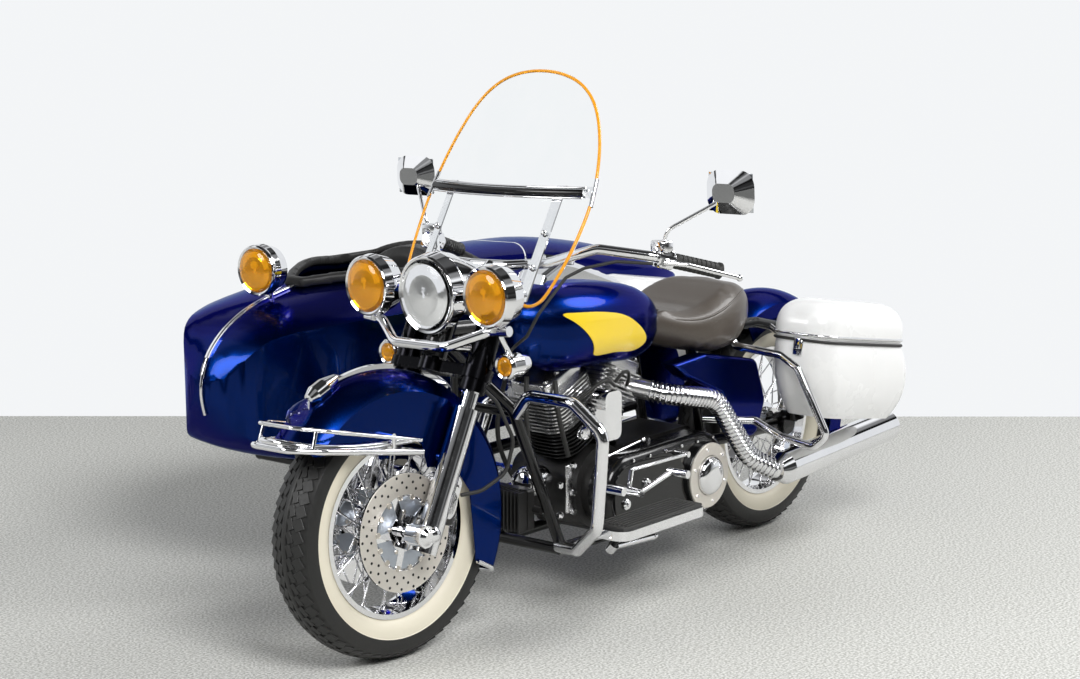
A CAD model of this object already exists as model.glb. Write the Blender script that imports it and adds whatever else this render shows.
"""Dresses a touring motorcycle and its sidecar: finishes, small parts, lamps and soft goods."""

import logging
import math
from dataclasses import dataclass
from enum import Enum

import bpy
from mathutils import Matrix, Vector


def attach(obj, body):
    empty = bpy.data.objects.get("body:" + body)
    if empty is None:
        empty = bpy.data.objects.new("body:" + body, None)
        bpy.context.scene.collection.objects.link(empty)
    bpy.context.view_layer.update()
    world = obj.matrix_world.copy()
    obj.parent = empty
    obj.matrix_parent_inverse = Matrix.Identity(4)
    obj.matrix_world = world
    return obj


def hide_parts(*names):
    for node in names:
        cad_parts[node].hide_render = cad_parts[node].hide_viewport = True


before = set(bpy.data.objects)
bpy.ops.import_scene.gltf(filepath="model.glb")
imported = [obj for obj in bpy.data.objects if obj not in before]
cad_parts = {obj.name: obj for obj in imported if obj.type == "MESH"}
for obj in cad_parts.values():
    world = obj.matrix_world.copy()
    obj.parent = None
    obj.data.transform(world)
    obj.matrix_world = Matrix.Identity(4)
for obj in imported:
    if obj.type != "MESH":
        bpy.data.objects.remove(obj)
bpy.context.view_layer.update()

LOG = logging.getLogger("scene")

# The working frame is the motorcycle's own, in millimetres; the row frame is moved from it and in metres
MM = 0.001
SHIFT = Vector((36, 290, 0))
FRONT_AXLE = Vector((806, 0, 318))
REAR_AXLE = Vector((-806, 0, 318))
SIDECAR_AXLE = Vector((-556, -1150, 318))
RAKE = math.radians(26)
STEER_ANGLE = math.radians(-6.1)
STEERING_AXIS = Vector((-math.sin(RAKE), 0, math.cos(RAKE)))
FINEST_RADIUS = 0.02
PIPE = 24
Outline = list[tuple[float, float]]
Colour = tuple[float, float, float]


class Body(Enum):
    """The bodies that pieces ride on."""

    CHASSIS = "chassis"
    FRONT = "front_end"
    FRONT_WHEEL = "front_wheel_assembly"
    REAR_WHEEL = "rear_wheel_assembly"
    SIDECAR_WHEEL = "sidecar_wheel_assembly"
    LEFT_LID = "left_lid"
    RIGHT_LID = "right_lid"
    STAND = "stand"


def place(x: float, y: float, z: float) -> Vector:
    """Turns a point of the working frame into the row frame.

    Args:
        x: Forward, mm.
        y: To the left, mm.
        z: Up, mm.

    Returns:
        The point in metres.
    """
    return (Vector((x, y, z)) + SHIFT) * MM


def steered() -> Matrix:
    """Returns the matrix that turns a straight-ahead piece with the fork, in the row frame."""
    pivot = place(*FRONT_AXLE)
    turn = Matrix.Rotation(STEER_ANGLE, 4, STEERING_AXIS)
    return Matrix.Translation(pivot) @ turn @ Matrix.Translation(-pivot)


def fresh() -> None:
    """Deselects everything."""
    for obj in list(bpy.context.selected_objects):
        obj.select_set(False)


def choose(obj: bpy.types.Object) -> None:
    """Makes one object the only selected and the active one.

    Args:
        obj: The object.
    """
    fresh()
    obj.select_set(True)
    bpy.context.view_layer.objects.active = obj


def settle(obj: bpy.types.Object, matrix: Matrix) -> bpy.types.Object:
    """Puts an object's place into its mesh.

    Args:
        obj: The object, whose mesh is about its own origin.
        matrix: Where it goes in the row frame.

    Returns:
        The same object.
    """
    choose(obj)
    obj.matrix_world = matrix
    bpy.ops.object.transform_apply(location=True, rotation=True, scale=True)
    return obj


def aimed(origin: Vector, axis: Vector) -> Matrix:
    """Returns the matrix that takes +Z to an axis at an origin.

    Args:
        origin: Row frame, metres.
        axis: Direction.
    """
    return Matrix.Translation(origin) @ axis.to_track_quat("Z", "Y").to_matrix().to_4x4()


def recalculate(obj: bpy.types.Object) -> None:
    """Merges doubles and points a mesh's faces outwards.

    Args:
        obj: The mesh object.
    """
    choose(obj)
    bpy.ops.object.mode_set(mode="EDIT")
    bpy.ops.mesh.select_all(action="SELECT")
    bpy.ops.mesh.remove_doubles(threshold=0.00003)
    bpy.ops.mesh.normals_make_consistent(inside=False)
    bpy.ops.object.mode_set(mode="OBJECT")


def turned(profile: Outline, sides: int = 48) -> bpy.types.Object:
    """Turns a profile about +Z by extruding a circle ring by ring.

    Args:
        profile: Points of (along, radius) in mm.
        sides: Corners of each ring.

    Returns:
        The turned object about the origin.
    """
    fresh()
    along, radius = profile[0]
    radius = max(radius, FINEST_RADIUS)
    bpy.ops.mesh.primitive_circle_add(vertices=sides, radius=radius * MM, location=(0, 0, along * MM))
    obj = bpy.context.object
    bpy.ops.object.transform_apply(location=True)
    bpy.ops.object.mode_set(mode="EDIT")
    bpy.ops.mesh.select_all(action="SELECT")
    for next_along, next_radius in profile[1:]:
        next_radius = max(next_radius, FINEST_RADIUS)
        rise = (0, 0, (next_along - along) * MM)
        bpy.ops.mesh.extrude_edges_move(TRANSFORM_OT_translate={"value": rise})
        ratio = next_radius / radius
        bpy.ops.transform.resize(value=(ratio, ratio, 1), center_override=(0, 0, 0))
        along, radius = next_along, next_radius
    bpy.ops.object.mode_set(mode="OBJECT")
    recalculate(obj)
    return obj


def plate(size: tuple[float, float, float], bevel: float, segments: int = 3) -> bpy.types.Object:
    """Makes a block with rounded edges about the origin.

    Args:
        size: Along X, Y and Z, mm.
        bevel: Radius of its edges, mm.
        segments: Faces across each rounded edge.

    Returns:
        The block.
    """
    fresh()
    bpy.ops.mesh.primitive_cube_add(size=1)
    obj = bpy.context.object
    obj.scale = [value * MM for value in size]
    bpy.ops.object.transform_apply(scale=True)
    bpy.ops.object.mode_set(mode="EDIT")
    bpy.ops.mesh.select_all(action="SELECT")
    bpy.ops.mesh.bevel(offset=bevel * MM, segments=segments, affect="EDGES")
    bpy.ops.object.mode_set(mode="OBJECT")
    return obj


def bent(points: list[Vector], radius: float, closed: bool = False, sides: int = 3) -> bpy.types.Object:
    """Makes a round bar along a smooth line.

    Args:
        points: Control points in the row frame.
        radius: Of the bar, mm.
        closed: Whether the line ends where it starts.
        sides: Bevel resolution.

    Returns:
        The bar as a mesh in its place.
    """
    curve = bpy.data.curves.new("bar", "CURVE")
    curve.dimensions = "3D"
    curve.bevel_depth = radius * MM
    curve.bevel_resolution = sides
    curve.use_fill_caps = not closed
    spline = curve.splines.new("NURBS")
    spline.points.add(len(points) - 1)
    for point, where in zip(spline.points, points):
        point.co = (*where, 1)
    spline.use_cyclic_u = closed
    spline.use_endpoint_u = not closed
    spline.order_u = 3
    spline.resolution_u = 8
    obj = bpy.data.objects.new("bar", curve)
    bpy.context.scene.collection.objects.link(obj)
    choose(obj)
    bpy.ops.object.convert(target="MESH")
    return bpy.context.object


def panel(outline: Outline, thick: float) -> bpy.types.Object:
    """Makes a flat piece with a smooth outline about the origin, in its XY plane.

    Args:
        outline: Control points, mm.
        thick: Thickness, mm.

    Returns:
        The panel as a mesh.
    """
    curve = bpy.data.curves.new("outline", "CURVE")
    curve.dimensions = "2D"
    curve.fill_mode = "BOTH"
    curve.extrude = thick * MM / 2
    spline = curve.splines.new("NURBS")
    spline.points.add(len(outline) - 1)
    for point, (u, v) in zip(spline.points, outline):
        point.co = (u * MM, v * MM, 0, 1)
    spline.use_cyclic_u = True
    spline.order_u = 3
    obj = bpy.data.objects.new("outline", curve)
    bpy.context.scene.collection.objects.link(obj)
    choose(obj)
    bpy.ops.object.convert(target="MESH")
    return bpy.context.object


def joined(pieces: list[bpy.types.Object]) -> bpy.types.Object:
    """Joins objects into the first one.

    Args:
        pieces: Mesh objects in their places.

    Returns:
        The joined object.
    """
    choose(pieces[0])
    for obj in pieces:
        obj.select_set(True)
    bpy.ops.object.join()
    return bpy.context.object


def repeated(source: bpy.types.Object, places: list[Matrix]) -> bpy.types.Object:
    """Copies one modelled piece, each copy with its own mesh, and joins them.

    Args:
        source: The piece about the origin; it is used up.
        places: Where the copies go, in the row frame.

    Returns:
        The joined copies.
    """
    copies = []
    for matrix in places:
        copy = source.copy()
        copy.data = source.data.copy()
        bpy.context.scene.collection.objects.link(copy)
        copies.append(settle(copy, matrix))
    bpy.data.objects.remove(source)
    return joined(copies)


def own_copy(node: str) -> bpy.types.Object:
    """Copies a CAD node's mesh as a merged piece.

    Args:
        node: The node's name.

    Returns:
        The copy, with one material slot cleared.
    """
    copy = bpy.data.objects.new(f"{node}_skin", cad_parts[node].data.copy())
    bpy.context.scene.collection.objects.link(copy)
    copy.data.materials.clear()
    recalculate(copy)
    return copy


def shade(obj: bpy.types.Object, degrees: float = 35) -> None:
    """Shades a mesh smooth but for its sharp edges.

    Args:
        obj: The mesh object.
        degrees: Edges sharper than this stay sharp.
    """
    choose(obj)
    bpy.ops.object.shade_smooth_by_angle(angle=math.radians(degrees))


# Shared effects as node groups


class Effect(Enum):
    """The surface effects that finishes share."""

    GRAIN = "fine_grain"
    DUST = "road_dust"


def new_group(name: str, inputs: dict[str, float], outputs: tuple[str, ...]) -> bpy.types.NodeTree:
    """Makes an empty group with named values in and out.

    Args:
        name: The group's name.
        inputs: Socket names with their default values.
        outputs: Socket names.

    Returns:
        The group's tree, with its input and output nodes.
    """
    tree = bpy.data.node_groups.new(name, "ShaderNodeTree")
    for socket, value in inputs.items():
        made = tree.interface.new_socket(socket, in_out="INPUT", socket_type="NodeSocketFloat")
        made.default_value = value
    for socket in outputs:
        tree.interface.new_socket(socket, in_out="OUTPUT", socket_type="NodeSocketFloat")
    tree.nodes.new("NodeGroupInput").name = "in"
    tree.nodes.new("NodeGroupOutput").name = "out"
    return tree


def grain_group() -> bpy.types.NodeTree:
    """Returns the group that varies a value between two levels by fine noise."""
    group = bpy.data.node_groups.get(Effect.GRAIN.value)
    if group:
        return group
    group = new_group(Effect.GRAIN.value, {"Scale": 60, "Low": 0.2, "High": 0.3}, ("Value", "Height"))
    nodes, links = group.nodes, group.links
    where = nodes.new("ShaderNodeTexCoord")
    noise = nodes.new("ShaderNodeTexNoise")
    noise.inputs["Detail"].default_value = 5
    spread = nodes.new("ShaderNodeMapRange")
    spread.inputs["From Min"].default_value = 0.3
    spread.inputs["From Max"].default_value = 0.7
    links.new(where.outputs["Object"], noise.inputs["Vector"])
    links.new(nodes["in"].outputs["Scale"], noise.inputs["Scale"])
    links.new(noise.outputs["Fac"], spread.inputs["Value"])
    links.new(nodes["in"].outputs["Low"], spread.inputs["To Min"])
    links.new(nodes["in"].outputs["High"], spread.inputs["To Max"])
    links.new(spread.outputs["Result"], nodes["out"].inputs["Value"])
    links.new(noise.outputs["Fac"], nodes["out"].inputs["Height"])
    return group


def dust_group() -> bpy.types.NodeTree:
    """Returns the group that masks road dust, thickest near the ground."""
    group = bpy.data.node_groups.get(Effect.DUST.value)
    if group:
        return group
    group = new_group(Effect.DUST.value, {"Reach": 0.6, "Amount": 0.3}, ("Mask",))
    nodes, links = group.nodes, group.links
    where = nodes.new("ShaderNodeTexCoord")
    split = nodes.new("ShaderNodeSeparateXYZ")
    fade = nodes.new("ShaderNodeMapRange")
    fade.inputs["To Min"].default_value = 1
    fade.inputs["To Max"].default_value = 0
    noise = nodes.new("ShaderNodeTexNoise")
    noise.inputs["Scale"].default_value = 14
    noise.inputs["Detail"].default_value = 6
    patchy = nodes.new("ShaderNodeMath")
    patchy.operation = "MULTIPLY"
    scaled = nodes.new("ShaderNodeMath")
    scaled.operation = "MULTIPLY"
    scaled.use_clamp = True
    links.new(where.outputs["Object"], split.inputs["Vector"])
    links.new(where.outputs["Object"], noise.inputs["Vector"])
    links.new(split.outputs["Z"], fade.inputs["Value"])
    links.new(nodes["in"].outputs["Reach"], fade.inputs["From Max"])
    links.new(fade.outputs["Result"], patchy.inputs[0])
    links.new(noise.outputs["Fac"], patchy.inputs[1])
    links.new(patchy.outputs["Value"], scaled.inputs[0])
    links.new(nodes["in"].outputs["Amount"], scaled.inputs[1])
    links.new(scaled.outputs["Value"], nodes["out"].inputs["Mask"])
    return group


def mix_colours(tree: bpy.types.NodeTree, first: Colour, second: Colour) -> bpy.types.Node:
    """Adds a colour mix with both colours set.

    Args:
        tree: The material's tree.
        first: Colour at factor 0.
        second: Colour at factor 1.

    Returns:
        The mix node, whose factor is input 0, colours 6 and 7, and result output 2.
    """
    mix = tree.nodes.new("ShaderNodeMix")
    mix.data_type = "RGBA"
    mix.inputs[6].default_value = (*first, 1)
    mix.inputs[7].default_value = (*second, 1)
    return mix


def calculate(tree: bpy.types.NodeTree, operation: str, first: object, second: object) -> bpy.types.NodeSocket:
    """Adds a math node whose operands are sockets or numbers.

    Args:
        tree: The material's tree.
        operation: Blender's name of the operation.
        first: First operand.
        second: Second operand.

    Returns:
        The node's result.
    """
    node = tree.nodes.new("ShaderNodeMath")
    node.operation = operation
    for slot, value in enumerate((first, second)):
        if isinstance(value, bpy.types.NodeSocket):
            tree.links.new(value, node.inputs[slot])
        else:
            node.inputs[slot].default_value = value
    return node.outputs[0]


def measured_along(tree: bpy.types.NodeTree, origin: Vector, axis: Vector) -> bpy.types.NodeSocket:
    """Adds nodes for how far a point lies along an axis.

    Args:
        tree: The material's tree.
        origin: Where the axis starts, in the row frame.
        axis: Its direction.

    Returns:
        The distance in metres.
    """
    where = tree.nodes.new("ShaderNodeTexCoord")
    dot = tree.nodes.new("ShaderNodeVectorMath")
    dot.operation = "DOT_PRODUCT"
    direction = axis.normalized()
    tree.links.new(where.outputs["Object"], dot.inputs[0])
    dot.inputs[1].default_value = direction
    return calculate(tree, "SUBTRACT", dot.outputs["Value"], origin.dot(direction))


@dataclass(frozen=True)
class Finish:
    """A surface finish: two close colours, how rough it is, its grain, coat and dust."""

    name: str
    colour: Colour
    second: Colour
    metallic: float = 0.0
    rough: tuple[float, float] = (0.3, 0.4)
    grain: float = 60.0
    bump: float = 0.02
    coat: float = 0.0
    dust: float = 0.0
    reach: float = 0.7
    transmission: float = 0.0
    ior: float = 1.45
    edge: Colour = (1, 1, 1)

    def build(self) -> bpy.types.Material:
        """Returns the finish's material, made once, under a name that no slot of the record has."""
        label = f"{self.name}_finish"
        made = bpy.data.materials.get(label)
        if made:
            return made
        made = bpy.data.materials.new(label)
        made.use_nodes = True
        tree = made.node_tree
        shader = tree.nodes["Principled BSDF"]
        shader.inputs["Metallic"].default_value = self.metallic
        shader.inputs["Coat Weight"].default_value = self.coat
        shader.inputs["Coat Roughness"].default_value = 0.03
        shader.inputs["Transmission Weight"].default_value = self.transmission
        shader.inputs["IOR"].default_value = self.ior
        shader.inputs["Specular Tint"].default_value = (*self.edge, 1)
        grain = tree.nodes.new("ShaderNodeGroup")
        grain.node_tree = grain_group()
        grain.inputs["Scale"].default_value = self.grain
        grain.inputs["Low"].default_value = self.rough[0]
        grain.inputs["High"].default_value = self.rough[1]
        tones = mix_colours(tree, self.colour, self.second)
        tree.links.new(grain.outputs["Height"], tones.inputs[0])
        colour, rough = tones.outputs[2], grain.outputs["Value"]
        colour, rough = self.marked(tree, colour, rough)
        if self.dust:
            colour, rough = self.dusted(tree, colour, rough)
        tree.links.new(colour, shader.inputs["Base Color"])
        tree.links.new(rough, shader.inputs["Roughness"])
        bump = tree.nodes.new("ShaderNodeBump")
        bump.inputs["Strength"].default_value = self.bump
        bump.inputs["Distance"].default_value = 0.002
        tree.links.new(self.height(tree, grain.outputs["Height"]), bump.inputs["Height"])
        tree.links.new(bump.outputs["Normal"], shader.inputs["Normal"])
        return made

    def marked(self, tree: bpy.types.NodeTree, colour: object, rough: object) -> tuple:
        """Returns the colour and roughness unchanged; special finishes mark them."""
        return colour, rough

    def height(self, tree: bpy.types.NodeTree, grain: object) -> object:
        """Returns the bump's height; special finishes add to it."""
        return grain

    def dusted(self, tree: bpy.types.NodeTree, colour: object, rough: object) -> tuple:
        """Lays road dust over a colour and a roughness.

        Args:
            tree: The material's tree.
            colour: The clean colour.
            rough: The clean roughness.

        Returns:
            The dusty colour and roughness.
        """
        dust = tree.nodes.new("ShaderNodeGroup")
        dust.node_tree = dust_group()
        dust.inputs["Reach"].default_value = self.reach
        dust.inputs["Amount"].default_value = self.dust
        laid = mix_colours(tree, self.colour, (0.42, 0.38, 0.33))
        tree.links.new(dust.outputs["Mask"], laid.inputs[0])
        tree.links.new(colour, laid.inputs[6])
        return laid.outputs[2], calculate(tree, "ADD", rough, dust.outputs["Mask"])


@dataclass(frozen=True)
class SplitFinish(Finish):
    """A finish that changes to another colour past a plane."""

    origin: tuple[float, float, float] = (0, 0, 0)
    axis: tuple[float, float, float] = (0, 0, 1)
    until: float = 10.0
    beyond: Colour = (0.8, 0.8, 0.8)
    beyond_rough: float = 0.15

    def marked(self, tree: bpy.types.NodeTree, colour: object, rough: object) -> tuple:
        """Mixes in the other colour between the plane and its far limit."""
        along = measured_along(tree, place(*self.origin), Vector(self.axis))
        past = calculate(tree, "GREATER_THAN", along, 0.0)
        before = calculate(tree, "LESS_THAN", along, self.until)
        mask = calculate(tree, "MULTIPLY", past, before)
        mix = mix_colours(tree, self.colour, self.beyond)
        tree.links.new(mask, mix.inputs[0])
        tree.links.new(colour, mix.inputs[6])
        blend = tree.nodes.new("ShaderNodeMix")
        tree.links.new(mask, blend.inputs[0])
        tree.links.new(rough, blend.inputs[2])
        blend.inputs[3].default_value = self.beyond_rough
        return mix.outputs[2], blend.outputs[0]


@dataclass(frozen=True)
class TyreFinish(Finish):
    """Black rubber with a cream side wall."""

    axle: tuple[float, float, float] = (0, 0, 0)
    across: tuple[float, float, float] = (0, 1, 0)
    wall: tuple[float, float] = (0.216, 0.263)
    cream: Colour = (0.74, 0.69, 0.56)
    bead: float = 0.03

    def marked(self, tree: bpy.types.NodeTree, colour: object, rough: object) -> tuple:
        """Paints the side wall's cream band."""
        axle, across = place(*self.axle), Vector(self.across).normalized()
        ahead = across.cross(Vector((0, 0, 1))).normalized()
        side = measured_along(tree, axle, across)
        squares = []
        for axis in (ahead, ahead.cross(across)):
            reach = measured_along(tree, axle, axis)
            squares.append(calculate(tree, "MULTIPLY", reach, reach))
        radius = calculate(tree, "POWER", calculate(tree, "ADD", *squares), 0.5)
        outside = calculate(tree, "GREATER_THAN", radius, self.wall[0])
        inside = calculate(tree, "LESS_THAN", radius, self.wall[1])
        band = calculate(tree, "MULTIPLY", outside, inside)
        wide = calculate(tree, "ABSOLUTE", side, 0.0)
        band = calculate(tree, "MULTIPLY", band, calculate(tree, "GREATER_THAN", wide, self.bead))
        mix = mix_colours(tree, self.colour, self.cream)
        tree.links.new(band, mix.inputs[0])
        tree.links.new(colour, mix.inputs[6])
        return mix.outputs[2], rough


NAVY = Finish(
    "blue_paint", (0.0003, 0.012, 0.100), (0.0006, 0.019, 0.145), 0.97, (0.22, 0.28), 900, 0.006, 0.14, 0.006, 0.5,
    edge=(0.06, 0.20, 0.65),
)
CHROME = Finish("chrome", (0.80, 0.80, 0.82), (0.88, 0.88, 0.89), 1.0, (0.02, 0.06), 30, 0.0, dust=0.08, reach=0.35)
ALLOY = Finish("polished_alloy", (0.60, 0.60, 0.61), (0.72, 0.72, 0.72), 1.0, (0.18, 0.30), 90, 0.03, dust=0.06)
BRUSHED = Finish("brushed_steel", (0.70, 0.66, 0.60), (0.82, 0.78, 0.72), 0.8, (0.36, 0.48), 160, 0.02, dust=0.08)
CAST = Finish("cast_alloy", (0.34, 0.34, 0.35), (0.48, 0.48, 0.48), 1.0, (0.38, 0.52), 260, 0.12, dust=0.08)
STEEL = Finish("disc_steel", (0.56, 0.52, 0.47), (0.70, 0.66, 0.60), 1.0, (0.22, 0.34), 180, 0.03, dust=0.1)
BLACK = Finish("black_paint", (0.003, 0.003, 0.0035), (0.006, 0.006, 0.0065), 0.0, (0.12, 0.2), 70, 0.02, 0.0, 0.01)
WRINKLE = Finish("wrinkle_black", (0.007, 0.007, 0.0075), (0.016, 0.016, 0.016), 0.0, (0.34, 0.46), 700, 0.3, dust=0.04)
RUBBER = Finish("black_rubber", (0.012, 0.012, 0.012), (0.03, 0.03, 0.028), 0.0, (0.5, 0.65), 300, 0.15, dust=0.04)
WHITE = Finish("white_shell", (0.855, 0.855, 0.85), (0.865, 0.865, 0.86), 0.0, (0.27, 0.28), 6, 0.0, 0.5, 0.0, 0.5)
LEATHER = Finish("saddle_leather", (0.050, 0.041, 0.034), (0.105, 0.088, 0.072), 0.0, (0.30, 0.44), 420, 0.22, 0.15)
HIDE = Finish("black_hide", (0.010, 0.010, 0.010), (0.025, 0.024, 0.023), 0.0, (0.38, 0.52), 420, 0.35)
SHEET = Finish("clear_sheet", (0.96, 0.98, 0.98), (1, 1, 1), 0.0, (0.01, 0.03), 20, 0.0, transmission=1.0, ior=1.08)
CLEAR = Finish("clear_glass", (0.95, 0.97, 0.98), (1, 1, 1), 0.0, (0.02, 0.05), 90, 0.25, transmission=1.0, ior=1.3)
AMBER = Finish("amber_glass", (0.95, 0.36, 0.008), (1.0, 0.50, 0.02), 0.0, (0.04, 0.08), 60, 0.1, 0.4,
               transmission=0.7, ior=1.3)
BEAD = Finish("amber_bead", (0.80, 0.30, 0.01), (0.95, 0.42, 0.02), 0.0, (0.2, 0.3), 60, 0.02, 0.4)
RED = Finish("red_glass", (0.55, 0.01, 0.008), (0.7, 0.02, 0.012), 0.0, (0.06, 0.12), 120, 0.2, 0.5,
             transmission=0.4, ior=1.4)
YELLOW = Finish("yellow_enamel", (1.0, 0.70, 0.018), (1.0, 0.71, 0.02), 0.0, (0.28, 0.32), 30, 0.0, 0.6)
MIRROR = Finish("mirror_glass", (0.55, 0.57, 0.60), (0.60, 0.62, 0.65), 1.0, (0.02, 0.04), 30, 0.0)
CARRIER = Finish("disc_carrier", (0.40, 0.44, 0.50), (0.52, 0.56, 0.62), 0.9, (0.30, 0.40), 120, 0.03, dust=0.1)
DARK = Finish("dark_hollow", (0.004, 0.004, 0.004), (0.008, 0.008, 0.008), 0.0, (0.6, 0.8), 100, 0.05)
FORK_FINISH = SplitFinish(
    "fork_chrome", (0.78, 0.78, 0.80), (0.88, 0.88, 0.89), 1.0, (0.05, 0.1), 40, 0.01, dust=0.1, reach=0.4,
    origin=tuple(FRONT_AXLE + STEERING_AXIS * 372), axis=tuple(STEERING_AXIS), beyond=(0.01, 0.01, 0.012),
    beyond_rough=0.2,
)


def fin_finish(name: str, forward: int) -> SplitFinish:
    """Returns a cylinder's finish: black barrel fins under a polished head.

    Args:
        name: The finish's name.
        forward: 1 for the front cylinder, -1 for the rear one.
    """
    lean = math.radians(22.5)
    axis = Vector((forward * math.sin(lean), 0, math.cos(lean)))
    head = Vector((45, 0, 290)) + axis * 196
    return SplitFinish(name, (0.02, 0.02, 0.021), (0.05, 0.05, 0.05), 0.9, (0.35, 0.45), 200, 0.05, dust=0.04,
                       origin=tuple(head), axis=tuple(axis), beyond=(0.66, 0.66, 0.66), beyond_rough=0.2)


NODE_FINISHES = {
    # node: finish
    "air_cleaner": CHROME, "bag_guards": CHROME, "brake_hose": RUBBER, "coaming": HIDE, "console": CHROME,
    "crankcase": WRINKLE, "engine_guard": CHROME, "exhausts": CHROME, "fender_rails": CHROME,
    "foot_controls": CHROME, "fork": FORK_FINISH, "frame": BLACK, "front_cylinder": fin_finish("front_fins", 1),
    "front_fender": NAVY, "front_wheel": CHROME, "fuel_tank": NAVY, "handlebar": CHROME, "headlamp": CHROME,
    "horn_cover": CHROME, "lamp_bar": CHROME, "left_bag": WHITE, "left_bag_lid": WHITE, "primary_cover": BLACK,
    "rear_cylinder": fin_finish("rear_fins", -1), "rear_fender": NAVY, "rear_wheel": CHROME,
    "regulator": WRINKLE, "right_bag": WHITE, "right_bag_lid": WHITE, "saddle": LEATHER, "side_covers": NAVY,
    "side_stand": CHROME, "sidecar_body": NAVY, "sidecar_chassis": BLACK, "sidecar_fender": NAVY,
    "sidecar_lamp": CHROME, "sidecar_seat": HIDE, "sidecar_wheel": CHROME, "swingarm": BLACK,
    "tail_lamp": RED, "windshield": SHEET, "windshield_frame": CHROME,
}


def keep(
    obj: bpy.types.Object,
    name: str,
    body: Body,
    finish: Finish,
    turn: bool = False,
    degrees: float = 35,
) -> bpy.types.Object:
    """Names, dresses and hangs a finished piece on its body.

    Args:
        obj: The piece, in its place.
        name: Its name.
        body: The body that it rides on.
        finish: Its finish.
        turn: Whether the piece was made straight ahead and turns with the fork.
        degrees: Edges sharper than this stay sharp.

    Returns:
        The piece.
    """
    obj.name = name
    obj.data.materials.clear()
    obj.data.materials.append(finish.build())
    if turn:
        settle(obj, steered())
    shade(obj, degrees)
    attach(obj, body.value)
    LOG.info("%s: %d faces on %s", name, len(obj.data.polygons), body.value)
    return obj


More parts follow.
